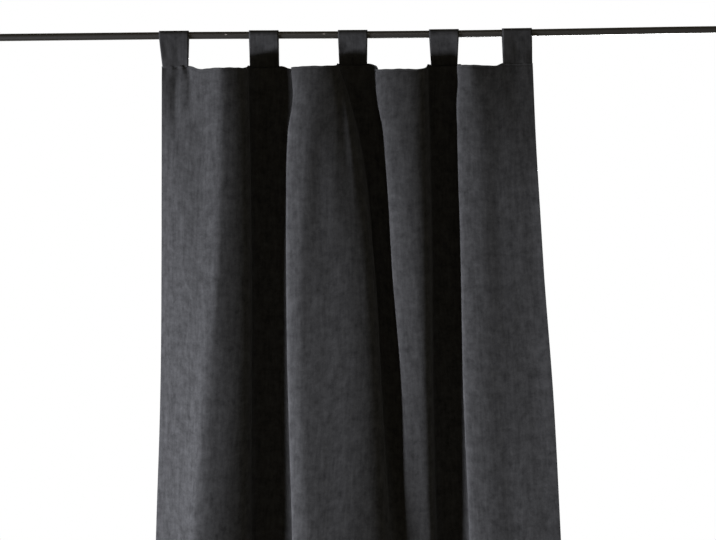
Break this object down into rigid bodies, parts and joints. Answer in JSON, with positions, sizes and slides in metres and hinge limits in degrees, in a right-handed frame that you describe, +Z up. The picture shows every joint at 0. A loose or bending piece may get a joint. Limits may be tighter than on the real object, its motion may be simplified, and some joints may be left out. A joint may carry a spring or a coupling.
{
  "type": "tab-top curtain hanging from a curtain rod",
  "caption": "Plain dark faux-suede curtain with a tab-top heading, hanging in uneven folds from a thin round rod.",
  "frame": {"origin": "centre of the rod's flat left end", "axes": "+X along the rod to the right, -Y towards the viewer, +Z up; the cloth hangs down along -Z"},
  "size_m": [1.8, 0.0782, 2.4139],
  "materials": {
    "panel_suede": "charcoal faux suede with a short mottled nap",
    "tab_suede": "the panel's charcoal faux suede, sewn as straight strips",
    "rod_metal": "near-black satin paint on steel tube"
  },
  "bodies": {
    "root": {"panel": "panel_suede", "tab_1": "tab_suede", "tab_2": "tab_suede", "tab_3": "tab_suede", "tab_4": "tab_suede", "tab_5": "tab_suede", "rod": "rod_metal"}
  },
  "joints": []
}
